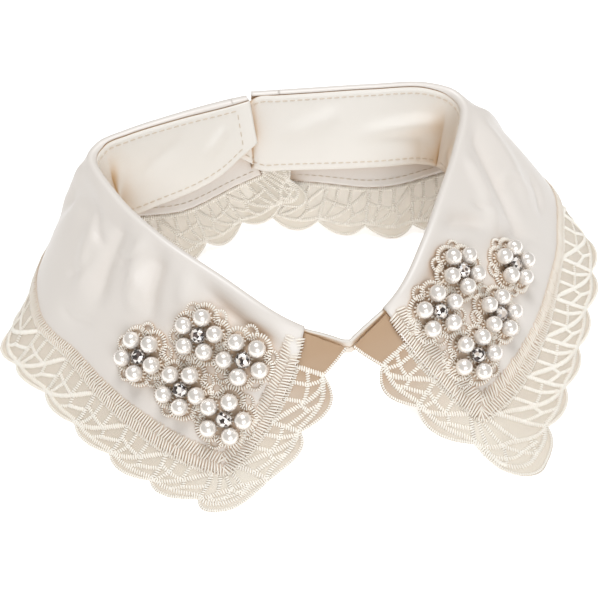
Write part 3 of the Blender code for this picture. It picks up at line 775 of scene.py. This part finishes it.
# Lace.
lace = {
    "ground": 0.3, "groundDown": 12, "fine": 0.5,
    "cord": {"pitch": 0.9, "thread": 0.88, "high": 1.6, "out": 0.1, "width": 2.2, "slant": 0.3},
    "bar": {"pitch": 0.9, "thread": 0.88, "high": 1.5, "out": 0.0, "width": 1.9, "slant": 0.3},
    "rim": {"pitch": 0.8, "thread": 0.85, "high": 1.2, "out": 0.0, "width": 1.2, "slant": 0.15},
    # how much painted shadow tans the ground: neck, first cut, past it, before the tip, at it, side,
    # back
    "paintedShadow": (1.0, 0.95, 0.75, 0.2, 0.0, 0.25, 0.0),
    "paintedShadowAt": (10, -6, 4, 60),  # past the first cut, then from the front corner lobe
    "rimInset": 0.6, "arcGap": 0.9, "arcInset": 3.4, "rootTop": 0.95, "rootDip": 0.5,
    "middleBar": (0.2, 0.58),  # share left at each end, place from root to arc
    "seam": 0.03, "seamCord": 0.8, "cellRow": 4.8, "cellPitch": 5,
    # straight lines of each kind of lobe, as share of its width and depth, or a curve's name
    "plainLines": (("cord", (1, 0.02), (1, 0.97)),), "cutLine": (("cord", (1, 0.03), (1, 0.95)),),
    "cornerLines": (
        ("bar", (0.3, 0.03), (0.3, "root")),
        ("bar", (0.5, 0.03), (0.5, "root")),
        ("bar", (0.7, 0.03), (0.7, "root")),
        ("bar", (0.2, "root"), (0.36, "arc")),
        ("bar", (0.5, "root"), (0.36, "arc")),
        ("bar", (0.5, "root"), (0.64, "arc")),
        ("bar", (0.8, "root"), (0.64, "arc")),
    ),
    "lobeLines": (
        ("cord", (0, 0.94), (1, 0.05)),
        ("bar", (0, 0.4), (0.54, 0.43)),
        ("bar", (0.26, 0.03), (0.24, 0.41), (0.1, 0.8)),
        ("bar", (0.56, 0.03), (0.54, 0.43)),
        ("bar", (0.66, 0.62), (1, 0.52)),
        ("bar", (0.66, 0.62), (0.6, 0.42)),
        ("bar", (0.66, 0.62), (0.5, "arc")),
    ),
}


def outerEdge(leaf, s):
    # the edge before it is scalloped, and the way in, at a length from the front top
    bend = laceCut["cornerRound"]
    front, quarter, hem = leaf.high(0.0) - bend, math.pi / 2 * bend, leaf.hem - 2 * bend
    if s >= front + quarter + hem:  # the back mirrors the front
        (along, height), (across, up) = outerEdge(leaf, 2 * (front + quarter) + hem - s)
        return (leaf.hem - along, height), (-across, up)
    if s < front:
        return (0, front + bend - s), (1, 0)
    if s < front + quarter:
        way = math.cos((s - front) / bend), math.sin((s - front) / bend)
        return (bend * (1 - way[0]), bend * (1 - way[1])), way
    return (bend + s - front - quarter, 0), (0, 1)


def lobeRows(leaf):
    # end of each stretch, depth of the cut, powers of its two halves, swell, and its kind
    cornerRound, deep = laceCut["cornerRound"], laceCut["lobeDepth"]
    quarter = math.pi / 2 * cornerRound
    corner = leaf.high(0.0) - cornerRound
    farCorner = corner + quarter + leaf.hem - 2 * cornerRound
    end = farCorner + quarter + leaf.high(leaf.hem) - cornerRound
    last = corner + quarter + leaf.cut["corner"] - cornerRound
    farFirst, farLast = farCorner - laceCut["backReach"], farCorner + quarter + laceCut["backReach"]


    def even(start, stop, pitch, kind):
        count = max(1, round((stop - start) / pitch))
        stops = [start + (stop - start) * (n + 1) / count for n in range(count)]
        return [(at, deep, (2, 2), 0.0, kind) for at in stops]

    plain, *cuts = leaf.cut["cuts"]
    rows = [(0.0, 0.0, (0, 0), 0.0, "plain"), (*plain, (0, 0), 0.0, "plain")]
    rows += [(*cut, (2, 2), 0.0, "front") for cut in cuts]
    rows.append((last, deep, (1.5, 4), leaf.cut["swell"], "corner"))
    rows += even(last, farFirst, leaf.cut["pitch"], "hem")
    rows.append((farLast, deep, (2, 2), 0.0, "corner"))
    rows += even(farLast, end, laceCut["backPitch"], "back")
    return rows


class LaceChart:
    # the lace by length round its edge (s) and share from the satin (0) to the edge (1)
    def __init__(self, leaf):
        self.leaf = leaf
        self.rows = lobeRows(leaf)
        corners = [n for n, row in enumerate(self.rows) if row[4] == "corner"]
        fan = laceCut["cornerFan"]
        at = border(leaf, -cloth["seamGap"] / 2)
        (a, b), (c, d) = ((self.rows[n - 1][0], self.rows[n][0]) for n in corners)
        (front, low), (back, backLow), (top, high) = at["frontCorner"], at["backCorner"], at["frontTop"]
        knots = np.array(
            (
                (0, top, high - low),
                (a, front + (top - front) * fan / (high - low), fan),
                ((a + b) / 2, front, 0),
                (b, front + fan, 0),
                (c, back - fan, 0),
                ((c + d) / 2, back, 0),
                (d, back, fan),
                (self.rows[-1][0], back, at["backTop"][1] - backLow),
            )
        )
        spans = []
        for (start, *_), (stop, *_) in zip(self.rows, self.rows[1:]):
            spans.append(np.linspace(start, stop, max(2, round((stop - start) / lace["fine"])) + 1)[1:])
        self.s = np.concatenate([[0.0], *spans])
        inner, outer = [], []
        for s in self.s:
            n = next(n for n in range(1, len(self.rows)) if s <= self.rows[n][0] + 1e-9)
            (start, deep, *_), (stop, deeper, powers, swell, _) = self.rows[n - 1], self.rows[n]
            share = (s - start) / (stop - start)
            pinch = abs(2 * share - 1) ** powers[int(share > 0.5)]
            dip = (deep * (1 - share) + deeper * share) * pinch - swell * (1 - pinch)
            edge, way = outerEdge(leaf, s)
            outer.append(np.array(edge) + np.array(way) * dip)
            near, rise = (np.interp(s, knots[:, 0], knots[:, axis]) for axis in (1, 2))
            inner.append((near, leaf.laceDepth(near) - cloth["seamGap"] / 2 + rise))
        self.inner, self.outer = np.array(inner), np.array(outer)
        self.depth = np.linalg.norm(self.outer - self.inner, axis=1)

    def at(self, s, t):
        s, t = np.broadcast_arrays(np.asarray(s, float), np.asarray(t, float))
        made = blend(readLine(s, self.s, self.inner), readLine(s, self.s, self.outer), t[..., None])
        below = np.where(made[..., 0] > self.leaf.hem / 2, cloth["backClear"], 0.0)
        made[..., 1] = np.minimum(made[..., 1], self.leaf.high(made[..., 0]) - below)
        return made

    def deep(self, s):
        return np.interp(s, self.s, self.depth)


def laceLines(chart):
    # every corded line of the pattern, as (s, t) knots and a cord kind
    lines = []

    def curve(kind, first, last, at):
        s = np.linspace(first, last, 30)
        lines.append((kind, pairs(s, at(s))))

    def rim(s):
        return 1 - lace["rimInset"] / chart.deep(s)

    for (a, *_), (b, _, _, _, kind) in zip(chart.rows, chart.rows[1:]):

        def swell(s):
            return np.clip(np.sin(np.pi * (s - a) / (b - a)), 0, 1)

        def root(s):
            return lace["rootTop"] - lace["rootDip"] * swell(s)

        def arc(s):
            return 1 - (lace["arcGap"] + lace["arcInset"] * swell(s) ** 0.5) / chart.deep(s)

        curves = {"root": root, "arc": arc}

        def straight(table, near=a, far=b):
            for cord, *knots in lace[table]:
                places = [near + (far - near) * share for share, _ in knots]
                depths = [curves[t](s) if t in curves else t for s, (_, t) in zip(places, knots)]
                lines.append((cord, line(*zip(places, depths))))

        if kind == "plain":
            straight("plainLines")
            curve("rim", a, b, rim)
            continue
        curve("rim", a, b, rim)
        curve("cord", a, b, arc)
        straight("cutLine")
        if kind == "corner":
            left, up = lace["middleBar"]
            left *= b - a
            curve("cord", a, b, root)
            curve("bar", a + left, b - left, lambda s: blend(root(s), arc(s), up))
            straight("cornerLines")
        elif kind == "front":
            straight("lobeLines")
        else:  # the slanted cord leans to the front corner
            straight("lobeLines", b, a)
        if kind == "back":
            curve("cord", a, b, lambda s: lace["cellRow"] / chart.deep(s))
            for s in np.linspace(a, b, max(2, round((b - a) / lace["cellPitch"])) + 1):
                lines.append(("bar", line((s, lace["seam"]), (s, lace["cellRow"] / chart.deep(s)))))
    firstCut, end = chart.rows[1][0], chart.rows[-1][0]
    curve("cord", firstCut, end, lambda s: lace["seamCord"] / chart.deep(s))
    return lines


def makeLace(side):
    leaf = leaves[side]
    chart = LaceChart(leaf)
    s, rows = chart.s, chart.rows
    spots = chart.at(s[:, None], np.linspace(0, 1, lace["groundDown"] + 1)[None])
    cut, end = rows[1][0], rows[-1][0]
    corner = next(before[0] for before, row in zip(rows, rows[1:]) if row[4] == "corner")
    # painted shadow along the lace, strongest at the neck front where the ground is in shade
    past, before, tip, far = lace["paintedShadowAt"]
    places = (0, cut, cut + past, corner + before, corner + tip, corner + far, end)
    paintedShadow = np.broadcast_to(np.interp(s, places, lace["paintedShadow"])[:, None], spots.shape[:2])
    mesh = gridMesh(f"organza_{side}", leaf.place(spots[..., 0], spots[..., 1]), spots, paintedShadow)
    ground = addPiece(f"organza_{side}", mesh, organza, [f"lace_{side}"])
    giveWall(ground, lace["ground"])
    sewn = []
    for kind, knots in laceLines(chart):
        path = chart.at(knots[:, 0], np.clip(knots[:, 1], 0, 1))
        sewn.append(stitches(leaf, path, lace[kind]))
    cords = copyPiece(f"lace_cords_{side}", ball(6, 4, True), sewn, laceThread)
    print("lace", side, "cord faces", len(cords.data.polygons))


makeLace("left")
makeLace("right")


# Zigzag bands along the satin's edge.
zigzag = {
    "wide": 9.2, "narrow": 3.6, "taper": (35.0, 100.0), "front": 8.4, "inset": -0.9, "topDrop": 2.0,
    "widest": 1.2, "stitchShare": 0.6,
    "rows": ((0.25, 0.22), (0.74, -0.22)),  # share across the band, slant
    "row": {"pitch": 1.05, "thread": 0.9, "high": 1.3, "out": 0.9, "slant": 0.0, "loose": 0.1},
}


def zigzagLine(leaf, front, wide, narrow):
    # an edge of the band in from its outer one: down the front, along the hem, up the back
    inset = zigzag["inset"]
    at = border(leaf, inset)
    (start, low), (stop, backLow) = at["frontCorner"], at["backCorner"]
    heights = np.linspace(leaf.high(leaf.cut["neck"]) - zigzag["topDrop"], low + wide, 60)
    along = blend(start + front, stop - narrow, np.linspace(0, 1, 240)[1:])
    depth = leaf.laceDepth(along) + inset + np.interp(along, zigzag["taper"], (wide, narrow))
    rise = np.linspace(0, 1, 50)[1:]
    up = blend(backLow + narrow, leaf.high(stop) - zigzag["topDrop"], rise)
    down = pairs(frontLine(leaf, inset + front, heights), heights)
    return np.concatenate([down, pairs(along, depth), pairs(0 * rise + stop - narrow, up)])


def makeZigzag(side):
    leaf = leaves[side]
    outer = zigzagLine(leaf, 0, 0, 0)
    inner = zigzagLine(leaf, zigzag["front"], zigzag["wide"], zigzag["narrow"])
    wide = np.linalg.norm(leaf.place(*outer.T) - leaf.place(*inner.T), axis=1)
    wide = np.minimum(wide, zigzag["wide"] * zigzag["widest"]) * zigzag["stitchShare"]
    rows = []
    for share, lean in zigzag["rows"]:
        rows.append(stitches(leaf, blend(outer, inner, share), {**zigzag["row"], "slant": lean}, wide))
    nodes = [f"stitch_band_{side}"]
    copyPiece(f"zigzag_band_{side}", ball(6, 4, True), rows, satinThread, nodes)


makeZigzag("left")
makeZigzag("right")
print("zigzag bands sewn")


# Flowers.
flower = {
    "left": ((68.7, 44.2, 42), (55.5, 61.4, 70), (37.6, 61.4, 26), (49.5, 42.9, 45), (31.6, 39.9, 52)),
    "right": ((56.0, 67.0, 11), (77.6, 49.4, 29), (32.9, 64.9, 58), (52.5, 47.1, 31), (30.5, 45.1, 33)),
    "petals": 5, "petalPower": 0.8, "middle": 2.0, "underPearl": 1.7, "pearl": 6.1, "ring": 6.1,
    "pearlOut": 4.6, "petalLow": 7.7, "petalWave": 2.7, "loopReach": 9.2, "loop": 2.3,
    "loopStitch": {"pitch": 0.75, "thread": 0.7, "high": 1.1, "out": 1.15, "width": 1.25},
    "outline": {"pitch": 0.9, "thread": 0.78, "high": 1.3, "out": 1.2, "width": 2.1},
    "padding": {"pitch": 1.0, "thread": 1.0, "high": 1.0, "out": 1.25, "width": 2.6, "loose": 0.1},
    "loose": 0.14, "stoneOut": 4.2, "stone": 5.7, "stoneSize": (5.358, 5.358, 3.4), "claws": 6,
    "clawReach": 0.93, "clawLift": 0.2, "clawSize": (0.7, 0.8, 2.4), "cupDrop": 0.75,
    # painted glints for the stone facets: their values and how often each comes
    "cupSize": (5.6, 5.6, 2.0), "paintedGlints": (0.05, 0.3, 0.65, 1.0),
    "paintedGlintShares": (0.26, 0.12, 0.2, 0.42),
}


def sewRing(leaf, spot, centre, radius, kind, steps=24):
    angle = np.linspace(0, math.tau, steps + 1)
    reach = radius(angle) if callable(radius) else radius
    across, up = centre[0] + reach * np.cos(angle), centre[1] + reach * np.sin(angle)
    path = pairs(*leaf.near(*spot, across, up))
    return stitches(leaf, path, {"slant": 0.0, "loose": flower["loose"], **flower[kind]})


def circle(radius, angles):
    return radius * np.stack([np.cos(angles), np.sin(angles)])


def frameAt(leaf, along, height, out):
    along, height = np.atleast_1d(along), np.atleast_1d(height)
    up = leaf.normal(*leaf.spot(along, height))
    side = squared(leaf.place(along + 0.5, height) - leaf.place(along - 0.5, height), up)
    return leaf.place(along, height, out), side, np.cross(up, side), up


def makeFlowers(side):
    leaf, petals = leaves[side], flower["petals"]
    sewn, pearls, stones, claws = [], [], [], []
    for *spot, turn in flower[side]:
        turn = math.radians(turn)

        def petal(angle):
            wave = np.abs(np.cos(petals / 2 * (angle - turn))) ** flower["petalPower"]
            return flower["petalLow"] + flower["petalWave"] * wave

        sewn.append(sewRing(leaf, spot, (0, 0), petal, "outline", 150))
        sewn.append(sewRing(leaf, spot, (0, 0), flower["middle"], "padding"))
        angles = turn + math.tau * np.arange(petals) / petals
        centres = circle(flower["ring"], angles)
        sewn += [sewRing(leaf, spot, centre, flower["underPearl"], "padding") for centre in centres.T]
        loops = circle(flower["loopReach"], angles + math.pi / petals)
        sewn += [sewRing(leaf, spot, centre, flower["loop"], "loopStitch") for centre in loops.T]
        size = np.full((petals, 3), flower["pearl"]) * rng.normal(1, 0.01, (petals, 1))
        pearls.append((*frameAt(leaf, *leaf.near(*spot, *centres), flower["pearlOut"]), size))
        origin, ways, rise, out = frameAt(leaf, *spot, flower["stoneOut"])
        spin = rng.uniform(0, math.tau)
        stones.append((origin, *turned(ways, rise, spin), out, np.array([flower["stoneSize"]])))
        for claw in range(flower["claws"]):
            outward, around = turned(ways, rise, spin + math.tau * claw / flower["claws"])
            reach = outward * flower["stone"] / 2 * flower["clawReach"]
            place = origin + reach + out * flower["clawLift"]
            claws.append((place, outward, around, out, np.array([flower["clawSize"]])))
    nodes = [f"flower_{side}_{n}" for n in range(1, 6)]
    name = f"flower_embroidery_{side}"
    copyPiece(name, ball(6, 4, True), sewn, flowerThread, nodes)
    copyPiece(f"pearls_{side}", ball(24, 16), pearls, pearlCoat, nodes)
    return stones, claws


def cutStone():
    # a brilliant: crown of flat facets over a shallow foot
    bm = bmesh.new()
    bmesh.ops.create_icosphere(bm, subdivisions=2, radius=0.5)
    for cut, way in ((0.46, 1), (-0.2, -1)):
        geom = bm.verts[:] + bm.edges[:] + bm.faces[:]
        place, out = (0, 0, cut), (0, 0, way)
        bmesh.ops.bisect_plane(bm, geom=geom, plane_co=place, plane_no=out, clear_outer=True)
        bmesh.ops.holes_fill(bm, edges=[edge for edge in bm.edges if edge.is_boundary])
    return bm


def makeStones(side, stones, claws):
    nodes = [f"stone_{side}_{n}" for n in range(1, 6)]
    mesh = copyPiece(f"stones_{side}", cutStone(), stones, crystal, nodes).data
    mesh.shade_flat()
    # painted glints: random dark and bright facets on the stones
    paintedGlint = mesh.attributes.new("paintedGlint", "FLOAT", "FACE")
    values = rng.choice(flower["paintedGlints"], len(mesh.polygons), p=flower["paintedGlintShares"])
    paintedGlint.data.foreach_set("value", values)
    cups = []
    for origin, ways, rise, out, _ in stones:
        cups.append((origin - out * flower["cupDrop"], ways, rise, out, np.array([flower["cupSize"]])))
    cup = bmesh.new()
    bmesh.ops.create_cone(cup, cap_ends=True, segments=20, radius1=0.42, radius2=0.5, depth=1.0)
    bmesh.ops.bevel(
        cup, geom=cup.edges[:], offset=0.03, offset_type="OFFSET",
        segments=1, profile=0.5, affect="EDGES", material=-1,
    )
    copyPiece(f"stone_cups_{side}", cup, cups, darkSilver)
    copyPiece(f"stone_claws_{side}", ball(8, 6), claws, darkSilver)


for side in ("left", "right"):
    makeStones(side, *makeFlowers(side))
print("flowers made")


# Topstitching.
topstitch = {
    "size": (2.2, 0.42, 0.34),  # long, wide, high
    "gap": 0.7, "raise": 0.08,
    "tab": (6.0, 0.16, 0.84),  # column of the row at the tab's end, and its ends as shares down
    "leafRow": 3.0, "leafEnds": (4, 3),
}


def dashes(points):
    # distances along a line, and the middles and sizes of its dashes
    length = lengths(points)
    count = int(length[-1] / (topstitch["size"][0] + topstitch["gap"]))
    return length, middles(count, length[-1]), np.tile(topstitch["size"], (count, 1))


def bandStitches(drops, indexes):
    # dashes along a line on both faces of the neckband
    points, _ = band.at(indexes, drops)
    length, at, size = dashes(points)
    spot, drop = readLine(at, length, pairs(indexes, drops)).T
    origin, out = band.at(spot, drop)
    depth = band.depth(np.broadcast_to(drop[None], (len(band.top), len(at))))
    columns = np.arange(len(band.top))
    deep = np.array([np.interp(place, columns, row) for place, row in zip(spot, depth.T)])
    way = unit(readLine(at + 0.5, length, points) - readLine(at - 0.5, length, points))
    made = []
    for face in (1, -1):
        up = squared(out, way) * face
        lift = deep[:, None] * out + up * (cloth["bandWall"] / 2 + topstitch["raise"])
        made.append((origin + lift, way, np.cross(up, way), up, size))
    return made


def makeTopstitching():
    last = len(band.top) - 1
    column, start, stop = topstitch["tab"]
    index = np.linspace(column, last, 900)
    tall = np.interp(index, np.arange(last + 1), band.tall)
    rows = bandStitches(neckband["topRow"] / tall, index)
    rows += bandStitches(1 - neckband["lowRow"] / tall, index)
    rows += bandStitches(np.linspace(start, stop, 60), np.full(60, column))
    after, before = topstitch["leafEnds"]
    for leaf in leaves.values():
        along = np.linspace(leaf.cut["front"] + after, leaf.hem - laceCut["backLace"] - before, 500)
        path = pairs(along, leaf.laceDepth(along) + topstitch["leafRow"])
        length, at, size = dashes(leaf.place(*path.T))
        spot = readLine(at, length, path).T
        out = -leaf.normal(*leaf.spot(*spot))
        points = leaf.place(*spot)
        way = squared(np.gradient(points, axis=0), out)
        lift = out * (cloth["satinWall"] / 2 + topstitch["raise"])
        rows.append((points + lift, way, np.cross(out, way), out, size))
    copyPiece("topstitching", ball(6, 4, True), rows, rowThread)


makeTopstitching()
print("topstitching sewn")


# Table, light and camera.
studio = {
    "floorReach": 3.0,
    "floor": {
        "Base Color": (0.93, 0.93, 0.93), "Roughness": 0.9, "Specular IOR Level": 0.1,
        "Emission Color": (1, 1, 1), "Emission Strength": 0.5,
    },
    "world": {"Color": (1.0, 0.92, 0.82), "Strength": 0.27},
    "lightColour": (0.93, 0.965, 1.0),
    "lights": (
        # name, place, aim, size, power
        ("overhead", (-0.02, 0.22, 0.95), (0, 0, 0.02), 0.42, 6.0),
        ("front", (0.08, -1.1, 0.66), (0, 0, 0.03), 0.7, 8.0),
    ),
    "camera": (-0.053257, -0.259451, 0.3121), "cameraAim": (-0.004457, 0.017349, 0), "sensor": 36,
    "lens": 63,
}


def addAimed(name, data, place, aim):
    thing = addObject(name, data)
    thing.location = place
    thing.rotation_euler = (Vector(aim) - Vector(place)).to_track_quat("-Z", "Y").to_euler()
    return thing


def makeStudio():
    bm = bmesh.new()
    bmesh.ops.create_grid(bm, x_segments=1, y_segments=1, size=studio["floorReach"])
    mesh = meshFrom(bm, "floor")
    mesh.materials.append(newFinish("pale floor", studio["floor"])[0])
    floor = addObject("floor", mesh)
    world = bpy.data.worlds.new("studio")
    world.use_nodes = True
    for label, value in studio["world"].items():
        setInput(world.node_tree, world.node_tree.nodes["Background"].inputs[label], value)
    bpy.context.scene.world = world
    for name, place, aim, size, power in studio["lights"]:
        light = bpy.data.lights.new(name, "AREA")
        light.shape = "SQUARE"
        light.size = size
        light.energy = power
        light.color = studio["lightColour"]
        addAimed(name, light, place, aim)
    bpy.context.scene.view_settings.view_transform = "Standard"
    lens = bpy.data.cameras.new("camera")
    lens.sensor_width = studio["sensor"]
    lens.lens = studio["lens"]
    bpy.context.scene.camera = addAimed("camera", lens, studio["camera"], studio["cameraAim"])


makeStudio()
